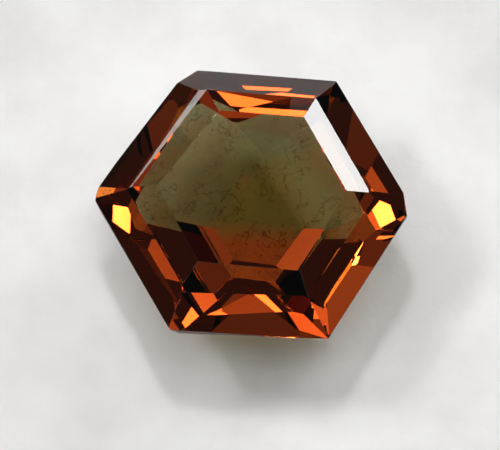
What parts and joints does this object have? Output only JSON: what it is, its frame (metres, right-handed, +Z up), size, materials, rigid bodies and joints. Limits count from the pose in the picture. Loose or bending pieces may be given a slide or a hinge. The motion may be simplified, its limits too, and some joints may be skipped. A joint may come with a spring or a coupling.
{
  "type": "cut alexandrite gemstone",
  "caption": "Loose transparent gemstone with a six-sided step cut: a flat table, stepped crown, thin girdle and a faceted pavilion that ends in a small flat culet.",
  "frame": {"origin": "middle of the culet, the flat that the stone stands on", "axes": "+Z up through the table, +X towards the corner at the right of the table, +Y towards the back edge"},
  "size_m": [0.0114, 0.0104, 0.0042],
  "materials": {
    "alexandrite": "polished, clear, olive where light passes straight through and orange red along long paths"
  },
  "bodies": {
    "root": {"alexandrite": "alexandrite"}
  },
  "joints": []
}
